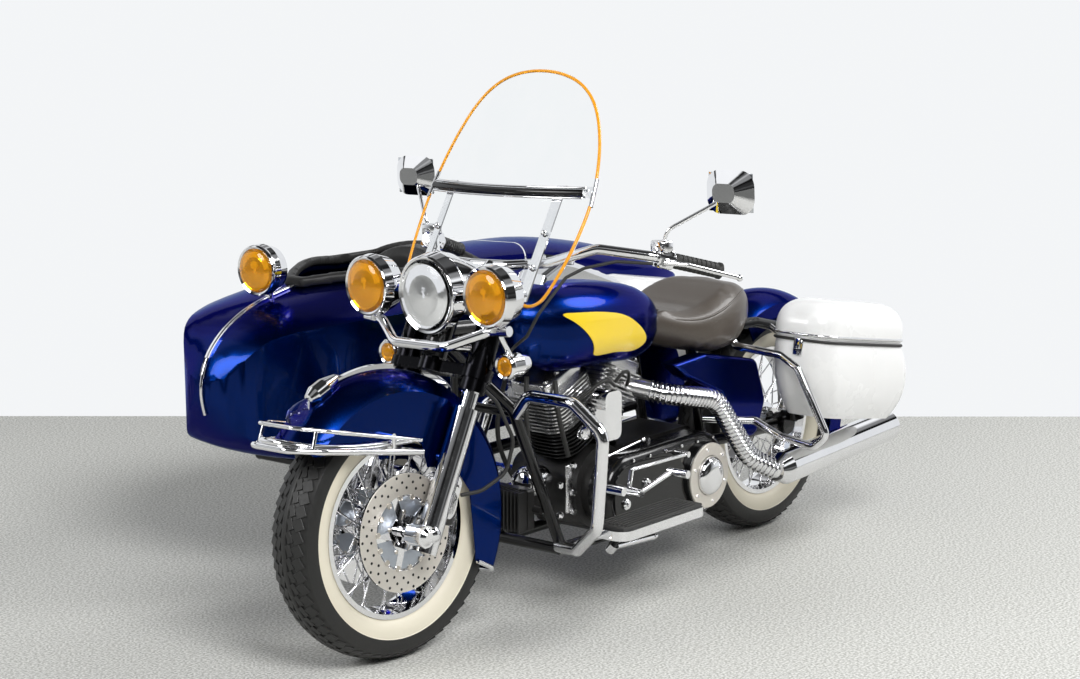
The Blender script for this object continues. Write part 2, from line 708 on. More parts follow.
@dataclass
class Studio:
    """The pale floor and backdrop, the lights and the camera."""

    eye: tuple[float, float, float] = (5165.1, 3966.8, 1880.7)
    yaw: float = 3.8152
    pitch: float = -0.1840
    roll: float = 0.0005
    lens: float = 83.09
    wall: float = 8.62
    floor: float = 24.0

    def build(self) -> None:
        """Makes the floor, world, lights and camera."""
        self.floor_plane()
        self.world()
        self.lights()
        self.camera()
        bpy.context.scene.view_settings.view_transform = "Standard"

    def floor_plane(self) -> None:
        """Lays the pale speckled floor, which ends square to the view behind the machine."""
        fresh()
        eye = place(*self.eye)
        ahead = Vector((math.cos(self.yaw), math.sin(self.yaw), 0))
        middle = Vector((eye.x, eye.y, 0)) + ahead * (self.wall - self.floor / 2)
        bpy.ops.mesh.primitive_plane_add(size=self.floor, location=middle, rotation=(0, 0, self.yaw))
        floor = bpy.context.object
        floor.name = "studio_floor"
        bpy.ops.object.transform_apply(location=True, rotation=True)
        made = bpy.data.materials.new("studio_floor")
        made.use_nodes = True
        tree = made.node_tree
        shader = tree.nodes["Principled BSDF"]
        shader.inputs["Roughness"].default_value = 0.6
        where = tree.nodes.new("ShaderNodeTexCoord")
        speck = tree.nodes.new("ShaderNodeTexNoise")
        speck.inputs["Scale"].default_value = 150
        speck.inputs["Detail"].default_value = 2
        spread = tree.nodes.new("ShaderNodeMapRange")
        spread.inputs["From Min"].default_value = 0.35
        spread.inputs["From Max"].default_value = 0.62
        tones = mix_colours(tree, (0.37, 0.37, 0.34), (0.76, 0.76, 0.73))
        tree.links.new(where.outputs["Object"], speck.inputs["Vector"])
        tree.links.new(speck.outputs["Fac"], spread.inputs["Value"])
        tree.links.new(spread.outputs["Result"], tones.inputs[0])
        tree.links.new(tones.outputs[2], shader.inputs["Base Color"])
        floor.data.materials.append(made)

    def world(self) -> None:
        """Makes the sky: white to the eye, and to the machine a dim room with a lit ceiling and a white wall."""
        world = bpy.data.worlds.new("studio")
        bpy.context.scene.world = world
        world.use_nodes = True
        tree = world.node_tree
        where = tree.nodes.new("ShaderNodeTexCoord")
        split = tree.nodes.new("ShaderNodeSeparateXYZ")
        ramp = tree.nodes.new("ShaderNodeValToRGB")
        bands = (
            # height of the direction, brightness
            (0.0, 0.08), (0.06, 0.14), (0.12, 0.20), (0.20, 0.04), (0.50, 0.03), (0.55, 1.1), (0.76, 1.1), (0.80, 0.05),
            (1.0, 0.16),
        )
        ramp.color_ramp.elements[0].position = bands[0][0]
        ramp.color_ramp.elements[1].position = bands[-1][0]
        for at, _ in bands[1:-1]:
            ramp.color_ramp.elements.new(at)
        for element, (_, level) in zip(ramp.color_ramp.elements, bands):
            element.color = (level * 0.97, level * 0.985, level, 1)
        path = tree.nodes.new("ShaderNodeLightPath")
        seen = mix_colours(tree, (0, 0, 0), (0.90, 0.915, 0.93))
        tree.links.new(where.outputs["Generated"], split.inputs["Vector"])
        tree.links.new(split.outputs["Z"], ramp.inputs["Fac"])
        patches = tree.nodes.new("ShaderNodeTexNoise")
        patches.inputs["Scale"].default_value = 1.7
        patches.inputs["Detail"].default_value = 0
        openings = tree.nodes.new("ShaderNodeMapRange")
        openings.inputs["From Min"].default_value = 0.42
        openings.inputs["From Max"].default_value = 0.58
        openings.inputs["To Min"].default_value = 0.25
        openings.inputs["To Max"].default_value = 1.15
        tree.links.new(where.outputs["Generated"], patches.inputs["Vector"])
        tree.links.new(patches.outputs["Fac"], openings.inputs["Value"])
        shaded = mix_colours(tree, (0, 0, 0), (1, 1, 1))
        tree.links.new(openings.outputs["Result"], shaded.inputs[0])
        tree.links.new(ramp.outputs["Color"], shaded.inputs[7])
        behind = tree.nodes.new("ShaderNodeVectorMath")
        behind.operation = "DOT_PRODUCT"
        behind.inputs[1].default_value = (math.cos(self.yaw), math.sin(self.yaw), 0)
        tree.links.new(where.outputs["Generated"], behind.inputs[0])
        facing = tree.nodes.new("ShaderNodeMapRange")
        facing.inputs["From Min"].default_value = -0.15
        facing.inputs["From Max"].default_value = 0.25
        tree.links.new(behind.outputs["Value"], facing.inputs["Value"])
        low = calculate(tree, "LESS_THAN", split.outputs["Z"], 0.42)
        walled = mix_colours(tree, (0, 0, 0), (0.86, 0.88, 0.90))
        tree.links.new(calculate(tree, "MULTIPLY", facing.outputs["Result"], low), walled.inputs[0])
        tree.links.new(shaded.outputs[2], walled.inputs[6])
        tree.links.new(walled.outputs[2], seen.inputs[6])
        shown = calculate(tree, "MAXIMUM", path.outputs["Is Camera Ray"], path.outputs["Is Transmission Ray"])
        tree.links.new(shown, seen.inputs[0])
        tree.links.new(seen.outputs[2], tree.nodes["Background"].inputs["Color"])

    def lights(self) -> None:
        """Hangs three soft area lamps."""
        lamps = (
            # name, place in metres, size, watts
            ("key", (2.6, 4.2, 4.4), 2.6, 260),
            ("front", (5.0, -2.2, 3.0), 2.2, 120),
            ("back", (-3.4, 2.6, 3.8), 2.4, 150),
        )
        for name, where, size, watts in lamps:
            light = bpy.data.lights.new(name, "AREA")
            light.shape = "DISK"
            light.size = size
            light.energy = watts
            obj = bpy.data.objects.new(name, light)
            obj.location = where
            aim = Vector((0, 0, 0.6)) - Vector(where)
            obj.rotation_euler = aim.to_track_quat("-Z", "Y").to_euler()
            bpy.context.scene.collection.objects.link(obj)

    def camera(self) -> None:
        """Sets the camera at the photograph's angle."""
        data = bpy.data.cameras.new("camera")
        data.lens = self.lens
        data.sensor_width = 36
        data.clip_end = 100
        obj = bpy.data.objects.new("camera", data)
        ahead = Vector((
            math.cos(self.yaw) * math.cos(self.pitch),
            math.sin(self.yaw) * math.cos(self.pitch),
            math.sin(self.pitch),
        ))
        look = ahead.to_track_quat("-Z", "Y").to_matrix().to_4x4()
        obj.matrix_world = Matrix.Translation(place(*self.eye)) @ look @ Matrix.Rotation(self.roll, 4, "Z")
        bpy.context.scene.collection.objects.link(obj)
        bpy.context.scene.camera = obj


@dataclass
class Tyre:
    """A tyre with round walls, a cream side wall and a tread of slanted blocks about a middle rib."""

    name: str
    body: Body
    axle: Vector
    turn: bool = False
    sides: int = 160
    pitches: int = 62
    block_rows: tuple[tuple[float, float, float, float, float, float], ...] = (
        # across, radius of its middle, tilt, length, width, slant
        (17.5, 313.8, 7, 28.5, 16, 22),
        (40.5, 308.2, 18, 28, 26, 28),
    )

    def build(self) -> None:
        """Turns the tyre's section, lays the tread on it and replaces the plain ring."""
        half = [
            # across, radius, from the bead to the middle of the tread
            (43, 204), (43, 217), (49, 221), (56.5, 232), (61.5, 246), (62, 261), (64.5, 264), (65, 272),
            (63.5, 286), (60, 296.5), (54, 302), (46, 305.8), (34, 309.8), (20, 312.9), (8.6, 314.2), (7.4, 317),
            (6, 317.7),
        ]
        section = [(y, r) for y, r in half] + [(-y, r) for y, r in reversed(half)] + [(43, 204)]
        axis = Vector((0, 1, 0))
        ring = settle(turned(section, self.sides), aimed(place(*self.axle), axis))
        across = Matrix.Rotation(STEER_ANGLE, 3, STEERING_AXIS) @ axis if self.turn else axis
        finish = TyreFinish(f"{self.name}_rubber", (0.010, 0.010, 0.010), (0.022, 0.022, 0.021), 0.0, (0.42, 0.55), 120,
                            0.15, dust=0.02, reach=0.25, axle=tuple(self.axle), across=tuple(across))
        obj = joined([ring] + self.tread())
        keep(obj, f"{self.name}_rubber", self.body, finish, self.turn, 28)
        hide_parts(self.name)

    def tread(self) -> list[bpy.types.Object]:
        """Returns the rows of blocks on both sides of the middle rib."""
        rows = []
        for reach, radius, tilt, length, width, slant in self.block_rows:
            places = []
            for side in (1, -1):
                lean = Matrix.Rotation(math.radians(-side * tilt), 4, "X") @ Matrix.Rotation(math.radians(side * slant), 4, "Z")
                stand = Matrix.Translation(Vector((0, side * reach, radius)) * MM) @ lean
                for k in range(self.pitches):
                    spin = Matrix.Rotation(2 * math.pi * (k + 0.25 * side) / self.pitches, 4, "Y")
                    places.append(Matrix.Translation(place(*self.axle)) @ spin @ stand)
            rows.append(repeated(plate((length, width, 4.6), 1.1, 1), places))
        return rows


@dataclass
class WheelTrim:
    """What is fitted to a wheel: hub caps, disc carriers with their bolts, and the discs' holes."""

    name: str
    body: Body
    axle: Vector
    discs: tuple[int, ...]
    turn: bool = False
    disc_face: float = 78.0
    rows: tuple[tuple[float, int, float], ...] = ((138, 22, 0), (124, 22, 7), (110, 22, 14))

    def build(self) -> None:
        """Makes the trim of every disc side."""
        for side in self.discs:
            self.holes(side)
            self.carrier(side)

    def ring(self, side: int, radius: float, count: int, start: float, lift: float = 0.0) -> list[Matrix]:
        """Returns places evenly round the disc's face.

        Args:
            side: 1 on the left and -1 on the right.
            radius: Of the ring, mm.
            count: How many places.
            start: First angle, degrees.
            lift: Height above the disc's face, mm.
        """
        places = []
        for k in range(count):
            angle = math.radians(360 * k / count + start)
            reach = side * (self.disc_face + lift)
            offset = Vector((radius * math.cos(angle), reach, radius * math.sin(angle)))
            places.append(aimed(place(*(self.axle + offset)), Vector((0, side, 0))))
        return places

    def holes(self, side: int) -> None:
        """Faces the disc with brushed steel and drills it by dark spots."""
        label = "left" if side > 0 else "right"
        face = self.disc_face
        section = [(face - 0.7, 93), (face - 0.2, 93), (face, 93.6), (face, 145), (face - 0.4, 145.7), (face - 0.7, 145.7),
                   (face - 0.7, 93)]
        ring = settle(turned(section, 96), aimed(place(*self.axle), Vector((0, side, 0))))
        keep(ring, f"{self.name}_disc_face_{label}", self.body, BRUSHED, self.turn, 25)
        spot = turned([(0, 0), (0, 3.7), (0.2, 3.6), (0.2, 0)], 12)
        places = [matrix for radius, count, start in self.rows for matrix in self.ring(side, radius, count, start)]
        keep(repeated(spot, places), f"{self.name}_holes_{label}", self.body, DARK, self.turn)

    def carrier(self, side: int) -> None:
        """Fits the plate inside the disc with its ring of floating buttons and hub bolts."""
        label = "left" if side > 0 else "right"
        face = self.disc_face - 4.5
        profile = [(face, 34), (face + 2.5, 34), (face + 3.4, 36), (face + 3.4, 84), (face + 2.5, 88), (face, 88)]
        dish = settle(turned(profile, 64), aimed(place(*self.axle), Vector((0, side, 0))))
        keep(dish, f"{self.name}_carrier_{label}", self.body, CARRIER, self.turn, 25)
        button = turned([(0, 0), (0, 7.5), (2.6, 7.5), (3.2, 6.4), (2.2, 5.4), (2.2, 0)], 20)
        buttons = repeated(button, self.ring(side, 88, 14, 6, -1.2))
        bolt = turned([(0, 0), (0, 5.5), (1.8, 5.5), (2.8, 4.4), (2.8, 0)], 12)
        bolts = repeated(bolt, self.ring(side, 52, 5, 18, -1.2))
        keep(joined([buttons, bolts]), f"{self.name}_disc_bolts_{label}", self.body, STEEL, self.turn)


@dataclass
class ForkTrim:
    """Brake calipers, hub caps, the fender's blade and its chrome end."""

    def build(self) -> None:
        """Makes the pieces about the front wheel."""
        for side, label in ((1, "left"), (-1, "right")):
            self.caliper(side, label)
            cap = turned([(0, 21), (6, 21), (12, 17), (17, 10), (19, 0)], 28)
            settle(cap, aimed(place(806 - 26, side * 146, 318), Vector((0, side, 0))))
            keep(cap, f"axle_cap_{label}", Body.FRONT, CHROME, True, 60)
        self.blade()
        self.tip()

    def tip(self) -> None:
        """Edges the fender's rear end with a bright strip."""
        half = [
            # x, y, z from one side to the middle
            (577, 89, 203), (550, 90, 189), (526, 88, 176), (501, 60, 163), (488, 30, 156), (485, 0, 154),
        ]
        points = [place(*point) for point in half] + [place(x, -y, z) for x, y, z in reversed(half[:-1])]
        keep(bent(points, 6.0, sides=4), "fender_tip", Body.FRONT, CHROME, True, 60)

    def caliper(self, side: int, label: str) -> None:
        """Hangs a caliper behind the slider, about the disc's rear edge."""
        block = plate((52, 34, 104), 9)
        turn = Matrix.Rotation(math.radians(-18), 4, "Y")
        settle(block, Matrix.Translation(place(690, side * 100, 372)) @ turn)
        keep(block, f"caliper_{label}", Body.FRONT, WRINKLE, True, 40)
        cap = turned([(0, 19), (5, 19), (8, 16), (8, 0)], 32)
        face = Matrix.Translation(place(690, side * 117, 372)) @ turn @ Matrix.Rotation(-side * math.pi / 2, 4, "X")
        settle(cap, face @ Matrix.Diagonal((1, 1.9, 1, 1)))
        keep(cap, f"caliper_cap_{label}", Body.FRONT, CHROME, True, 40)

    def blade(self) -> None:
        """Bends the broad bright blade between the fender's rails."""
        half = [
            # x, y, z from the rear end to the middle in front
            (790, 97, 546), (860, 98, 549), (960, 98, 556), (1050, 92, 568), (1104, 76, 578), (1134, 48, 586),
            (1143, 18, 589),
        ]
        points = [place(x, y, z) for x, y, z in half] + [place(x, -y, z) for x, y, z in reversed(half)]
        keep(bent(points, 8.5, sides=4), "fender_blade", Body.FRONT, CHROME, True, 60)


@dataclass
class Lamps:
    """Lenses, rims and bulbs of every lamp."""

    def build(self) -> None:
        """Fits each lens before its shell."""
        lenses = (
            # name, place, radius, bulge, body, finish, turned
            ("headlamp_lens", (630, 0, 870), 90, 20, Body.FRONT, CLEAR, True),
            ("passing_lens_left", (636, 213, 880), 68, 17, Body.FRONT, AMBER, True),
            ("passing_lens_right", (636, -213, 880), 68, 17, Body.FRONT, AMBER, True),
            ("signal_lens_left", (575, 209, 703), 25, 10, Body.FRONT, AMBER, True),
            ("signal_lens_right", (575, -209, 703), 25, 10, Body.FRONT, AMBER, True),
            ("sidecar_lens", (485, -740, 841), 61, 16, Body.CHASSIS, AMBER, False),
        )
        for name, where, radius, bulge, body, finish, turn in lenses:
            profile = [(0, radius)]
            steps = 6
            for k in range(1, steps + 1):
                share = k / steps
                profile.append((bulge * math.sin(share * math.pi / 2) + 1, radius * math.cos(share * math.pi / 2)))
            lens = settle(turned(profile, 48), aimed(place(*where), Vector((1, 0, 0))))
            keep(lens, name, body, finish, turn, 60)
            rim = turned([(-6, radius + 1), (-7, radius + 7), (2, radius + 8), (6, radius + 4), (4, radius - 1)], 56)
            settle(rim, aimed(place(*where), Vector((1, 0, 0))))
            keep(rim, name.replace("lens", "rim"), body, CHROME, turn, 60)
            self.bowl(name.replace("lens", "bowl"), Vector(where), radius, body, turn)
        self.bulb()
        self.fender_lamp()
        self.tail_lens()

    def bowl(self, name: str, where: Vector, radius: float, body: Body, turn: bool) -> None:
        """Puts a facetted reflector behind a lens.

        Args:
            name: The bowl's name.
            where: Middle of the lens's foot, working frame.
            radius: Of the lens, mm.
            body: The body that it rides on.
            turn: Whether it turns with the fork.
        """
        reach = radius - 2
        profile = [(1, 0), (1.5, reach * 0.2), (3, reach * 0.45), (5, reach * 0.7), (7, reach)]
        dish = settle(turned(profile, 22), aimed(place(*(where - Vector((5, 0, 0)))), Vector((1, 0, 0))))
        keep(dish, name, body, CHROME, turn, 1)

    def bulb(self) -> None:
        """Puts the headlamp's dark bulb shield before its reflector."""
        shield = settle(turned([(0, 9), (8, 9), (11, 6), (12, 0)], 24), aimed(place(628, 0, 870), Vector((1, 0, 0))))
        keep(shield, "headlamp_shield", Body.FRONT, DARK, True)

    def fender_lamp(self) -> None:
        """Sets the clear drop-shaped lamp on the front fender's crown."""
        drop = turned([(0, 0), (3, 12), (12, 21), (26, 25), (44, 21), (62, 13), (78, 5), (84, 0)], 32)
        start, end = place(1080, 0, 618), place(1028, 0, 668)
        settle(drop, aimed(start, end - start))
        keep(drop, "fender_lamp", Body.FRONT, CLEAR, True, 60)

    def tail_lens(self) -> None:
        """Gives the tail lamp a raised lens and a chrome rim."""
        lens = settle(plate((10, 74, 56), 4), Matrix.Translation(place(-1220.5, 0, 470)))
        keep(lens, "tail_lens", Body.CHASSIS, RED)


@dataclass
class Tank:
    """The fuel tank's side panels, cap and gauge."""

    side: float = 172.0

    def build(self) -> None:
        """Fits the yellow panels, the cap and the gauge."""
        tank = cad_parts["fuel_tank"]
        outline = [
            # x, z along the panel's edge
            (298, 795), (230, 790), (157, 784), (49, 764), (-34, 720), (-75, 685), (-71, 664), (-13, 651),
            (74, 667), (168, 665), (173, 689), (198, 727), (244, 765),
        ]
        for side, label in ((1, "left"), (-1, "right")):
            flat = panel(outline, 0)
            stand = Matrix(((1, 0, 0, 0), (0, 0, -1, 0), (0, 1, 0, 0), (0, 0, 0, 1)))
            settle(flat, Matrix.Translation(place(0, side * self.side, 0)) @ stand)
            choose(flat)
            bpy.ops.object.mode_set(mode="EDIT")
            bpy.ops.mesh.select_all(action="SELECT")
            bpy.ops.mesh.quads_convert_to_tris()
            bpy.ops.mesh.subdivide(number_cuts=5)
            bpy.ops.object.mode_set(mode="OBJECT")
            wrap = flat.modifiers.new("wrap", "SHRINKWRAP")
            wrap.target = tank
            wrap.wrap_method = "PROJECT"
            wrap.use_project_y = True
            wrap.use_negative_direction = True
            wrap.use_positive_direction = True
            wrap.offset = 0.0012
            bpy.ops.object.modifier_apply(modifier="wrap")
            recalculate(flat)
            body = flat.modifiers.new("body", "SOLIDIFY")
            body.thickness = 0.0022
            body.offset = 0
            bpy.ops.object.modifier_apply(modifier="body")
            keep(flat, f"tank_panel_{label}", Body.CHASSIS, YELLOW, False, 60)
        cap = settle(turned([(0, 30), (8, 30), (12, 27), (16, 18), (17, 0)], 40), aimed(place(-20, 0, 838), Vector((-0.25, 0, 1))))
        gauge = settle(turned([(0, 50), (14, 50), (18, 46), (15, 43), (13, 0)], 56), aimed(place(132, 0, 892), Vector((-0.2, 0, 1))))
        keep(cap, "fuel_cap", Body.CHASSIS, CHROME)
        keep(gauge, "gauge_rim", Body.CHASSIS, CHROME)
        dial = settle(turned([(0, 42), (1, 42), (1.2, 0)], 40), aimed(place(129.5, 0, 904.8), Vector((-0.2, 0, 1))))
        keep(dial, "gauge_dial", Body.CHASSIS, DARK)


@dataclass
class Engine:
    """Small engine parts: covers, bolts, push rod tubes and the ribbed pipe."""

    def build(self) -> None:
        """Fits each of the engine's small parts."""
        self.clutch_dome()
        self.push_rods()
        self.ribbed_pipe()
        self.rocker_bolts()
        self.primary_step()
        self.cylinder_side()
        self.filter()
        self.leads()

    def primary_step(self) -> None:
        """Raises a smaller panel on the primary cover, and a chrome plug in it."""
        outline = [
            # x, z
            (120, 300), (112, 228), (40, 208), (-60, 206), (-150, 196), (-205, 200), (-206, 262), (-196, 318),
            (-150, 352), (-60, 362), (40, 366), (104, 352),
        ]
        stand = Matrix(((1, 0, 0, 0), (0, 0, -1, 0), (0, 1, 0, 0), (0, 0, 0, 1)))
        flat = panel(outline, 9)
        settle(flat, Matrix.Translation(place(0, 184, 0)) @ stand)
        keep(flat, "primary_step", Body.CHASSIS, BLACK, False, 60)
        plug = turned([(0, 0), (0, 15), (5, 15), (8, 12), (8, 6), (12, 5), (12, 0)], 24)
        plugs = repeated(plug, [aimed(place(-20, 188, 300), Vector((0, 1, 0))), aimed(place(70, 188, 262), Vector((0, 1, 0)))])
        keep(plugs, "primary_plugs", Body.CHASSIS, CHROME, False, 40)

    def cylinder_side(self) -> None:
        """Adds the plug, bolts and rod seen between the cylinders and the primary cover."""
        plug = settle(turned([(0, 0), (0, 19), (10, 19), (16, 15), (18, 0)], 32), aimed(place(141, 96, 453), Vector((0, 1, 0))))
        rod = turned([(0, 0), (0, 8), (12, 8), (12, 4), (168, 4), (168, 8), (180, 8), (180, 0)], 16)
        settle(rod, aimed(place(95, 130, 380), place(-79, 130, 400) - place(95, 130, 380)))
        bolt = turned([(0, 0), (0, 10), (8, 10), (11, 7), (11, 0)], 6)
        spots = ((18, 112, 372), (176, 92, 373), (176, 92, 300), (176, 92, 250), (-120, 112, 392), (232, 92, 250), (232, 92, 330))
        bolts = repeated(bolt, [aimed(place(*spot), Vector((0, 1, 0))) for spot in spots])
        keep(joined([plug, rod, bolts]), "side_fittings", Body.CHASSIS, CHROME, False, 40)
        bracket = settle(plate((26, 8, 130), 5), Matrix.Translation(place(190, 92, 312)))
        keep(bracket, "mount_plate", Body.CHASSIS, ALLOY, False, 40)

    def filter(self) -> None:
        """Hangs the oil filter on the crankcase's front."""
        can = turned([(0, 34), (0, 38), (10, 40), (70, 40), (84, 34), (90, 20), (92, 0)], 40)
        settle(can, aimed(place(190, 0, 322), Vector((1, 0, 0.12))))
        keep(can, "oil_filter", Body.CHASSIS, CHROME, False, 50)

    def leads(self) -> None:
        """Runs the plug leads and vent hoses between the cylinders."""
        runs = (
            # points, radius
            (((150, 92, 540), (120, 118, 575), (60, 122, 590), (20, 112, 560)), 4.5),
            (((-60, 92, 548), (-40, 120, 590), (0, 124, 600), (20, 112, 570)), 4.5),
            (((220, 70, 600), (240, 92, 540), (225, 96, 470), (190, 90, 400)), 6.5),
            (((262, 30, 380), (300, 52, 420), (330, 60, 520), (300, 40, 620)), 6.5),
            (((232, -60, 330), (280, -70, 400), (300, -60, 520), (280, -40, 620)), 6.5),
        )
        for k, (points, radius) in enumerate(runs):
            lead = bent([place(*point) for point in points], radius)
            keep(lead, f"engine_lead_{k + 1}", Body.CHASSIS, RUBBER, False, 60)

    def clutch_dome(self) -> None:
        """Covers the clutch with a polished dome, ringed by bolts."""
        plain = turned([(0, 90), (4, 90), (5.5, 88), (5.5, 57), (4, 55), (0, 55)], 72)
        settle(plain, aimed(place(-291, 199.5, 274), Vector((0, 1, 0))))
        keep(plain, "clutch_ring", Body.CHASSIS, BRUSHED, False, 25)
        dome = turned([(0, 54), (8, 54), (15, 51), (21, 44), (25, 32), (26.5, 16), (27, 0)], 64)
        settle(dome, aimed(place(-291, 199.5, 274), Vector((0, 1, 0))))
        keep(dome, "clutch_dome", Body.CHASSIS, CHROME, False, 40)
        bolt = turned([(0, 0), (0, 4.5), (4, 4.5), (5, 3), (5, 0)], 10)
        places = []
        for k in range(6):
            angle = math.radians(60 * k + 20)
            where = place(-291 + 74 * math.cos(angle), 203.5, 274 + 74 * math.sin(angle))
            places.append(aimed(where, Vector((0, 1, 0))))
        for k in range(12):
            share = k / 11
            where = place(-330 + 400 * share, 183.4, 178 + 22 * share if k % 2 else 372)
            places.append(aimed(where, Vector((0, 1, 0))))
        keep(repeated(bolt, places), "primary_bolts", Body.CHASSIS, CHROME)

    def push_rods(self) -> None:
        """Stands two push rod tubes beside each cylinder, on the right."""
        rods = []
        for forward in (1, -1):
            for spread in (18, 44):
                foot = place(45 + forward * spread, -104, 372)
                head = place(45 + forward * (spread + 92), -84, 585)
                length = (head - foot).length / MM
                rod = turned([(0, 9), (30, 9), (32, 7), (length - 30, 7), (length - 28, 9), (length, 9)], 20)
                rods.append(settle(rod, aimed(foot, head - foot)))
        keep(joined(rods), "push_rod_tubes", Body.CHASSIS, CHROME)

    def ribbed_pipe(self) -> None:
        """Rings the left exhaust pipe with the ribs of a flexible tube."""
        corners = [
            Vector((-138, 114, 522)), Vector((-158, 145, 514)), Vector((-200, 172, 506)), Vector((-330, 192, 478)),
            Vector((-438, 236, 300)), Vector((-498, 290, 262)),
        ]
        places = []
        bend = 30.0
        line = [corners[0]]
        for before, corner, after in zip(corners, corners[1:], corners[2:]):
            reach = min(bend, (corner - before).length / 2, (after - corner).length / 2)
            start = corner + (before - corner).normalized() * reach
            end = corner + (after - corner).normalized() * reach
            for k in range(7):
                t = k / 6
                line.append(start * (1 - t) ** 2 + corner * 2 * t * (1 - t) + end * t * t)
        line.append(corners[-1])
        travelled, pitch = 0.0, 13.0
        for start, end in zip(line, line[1:]):
            length = (end - start).length
            while travelled < length:
                point = start + (end - start) * (travelled / length)
                places.append(aimed(place(*point), end - start))
                travelled += pitch
            travelled -= length
        rib = turned([(-4, PIPE - 1), (-3.6, PIPE + 3), (-2, PIPE + 5), (2, PIPE + 5), (3.6, PIPE + 3), (4, PIPE - 1)], 28)
        keep(repeated(rib, places), "pipe_ribs", Body.CHASSIS, CHROME, False, 60)

    def rocker_bolts(self) -> None:
        """Puts domed bolts on the rocker boxes."""
        bolt = turned([(0, 0), (0, 7), (5, 7), (8, 5), (9, 0)], 12)
        lean = math.radians(22.5)
        places = []
        for forward in (1, -1):
            up = Vector((forward * math.sin(lean), 0, math.cos(lean)))
            out = Vector((forward * math.cos(lean), 0, -math.sin(lean)))
            top = Vector((45, 0, 290)) + up * 355
            for u in (10, 60):
                for v in (-52, 52):
                    places.append(aimed(place(*(top + out * u + Vector((0, v, 0)))), up))
        keep(repeated(bolt, places), "rocker_bolts", Body.CHASSIS, CHROME)


@dataclass
class Boards:
    """Rubber tops of the footboards and pedals."""

    def build(self) -> None:
        """Lays a ribbed rubber pad on each board."""
        for side, label in ((1, "left"), (-1, "right")):
            pad = settle(plate((340, 96, 8), 3), Matrix.Translation(place(170, side * 335, 279)))
            rib = plate((300, 5, 4), 1.5)
            ribs = repeated(rib, [Matrix.Translation(place(170, side * (335 + 13 * k), 284)) for k in range(-3, 4)])
            keep(joined([pad, ribs]), f"{label}_board_rubber", Body.CHASSIS, RUBBER, False, 40)


@dataclass
class Bags:
    """The saddlebags' bands, rivets and latches."""

    pitch: float = 9.5
    front: float = 232
    rear: float = -218
    inner: float = 238
    outer: float = 428
    corner: float = 70

    def spot(self, u: float, v: float, h: float) -> Vector:
        """Returns a point of the bags' tilted plane in the row frame.

        Args:
            u: Forward along the plane, mm.
            v: To the left, mm.
            h: Above the parting line, mm.
        """
        turn = math.radians(self.pitch)
        x = -740 + u * math.cos(turn) - h * math.sin(turn)
        z = 604 + u * math.sin(turn) + h * math.cos(turn)
        return place(x, v, z)

    def build(self) -> None:
        """Dresses both bags."""
        for side, label, lid in ((1, "left", Body.LEFT_LID), (-1, "right", Body.RIGHT_LID)):
            self.band(side, label, -7, Body.CHASSIS)
            self.band(side, label, 8, lid)
            self.latch(side, label)

    def band(self, side: int, label: str, height: float, body: Body) -> None:
        """Runs a moulding round the rim of a bag or lid."""
        grow = 4.0
        points = []
        centre_u, centre_v = (self.front + self.rear) / 2, (self.inner + self.outer) / 2
        half_u = (self.front - self.rear) / 2 + grow - self.corner
        half_v = (self.outer - self.inner) / 2 + grow - self.corner
        for k, (sign_u, sign_v) in enumerate(((1, 1), (-1, 1), (-1, -1), (1, -1))):
            for step in range(6):
                angle = math.radians(90 * k + 18 * step)
                u = centre_u + sign_u * half_u + self.corner * math.cos(angle)
                v = centre_v + sign_v * half_v + self.corner * math.sin(angle)
                points.append(self.spot(u, side * v, height))
        finish = CHROME if height > 0 else RUBBER
        name = f"{label}_{'lid' if height > 0 else 'bag'}_band"
        keep(bent(points, 4.2, closed=True), name, body, finish, False, 60)

    def latch(self, side: int, label: str) -> None:
        """Fits the catch on the bag's front face and a row of rivets along the rim."""
        turn = Matrix.Rotation(-math.radians(self.pitch), 4, "Y")
        body = settle(plate((9, 30, 46), 3), Matrix.Translation(self.spot(self.front + 3, side * 345, -28)) @ turn)
        hook = settle(plate((9, 18, 30), 2), Matrix.Translation(self.spot(self.front + 9, side * 345, -18)) @ turn)
        keep(joined([body, hook]), f"{label}_bag_catch", Body.CHASSIS, CHROME)
        rivet = turned([(0, 0), (0, 3.2), (1.2, 2.6), (1.6, 0)], 10)
        places = []
        for k in range(11):
            u = -150 + 31 * k
            here = self.spot(u, side * (self.outer + 1.5), -24)
            places.append(aimed(here, Vector((0, side, 0))))
        keep(repeated(rivet, places), f"{label}_bag_rivets", Body.CHASSIS, CHROME)


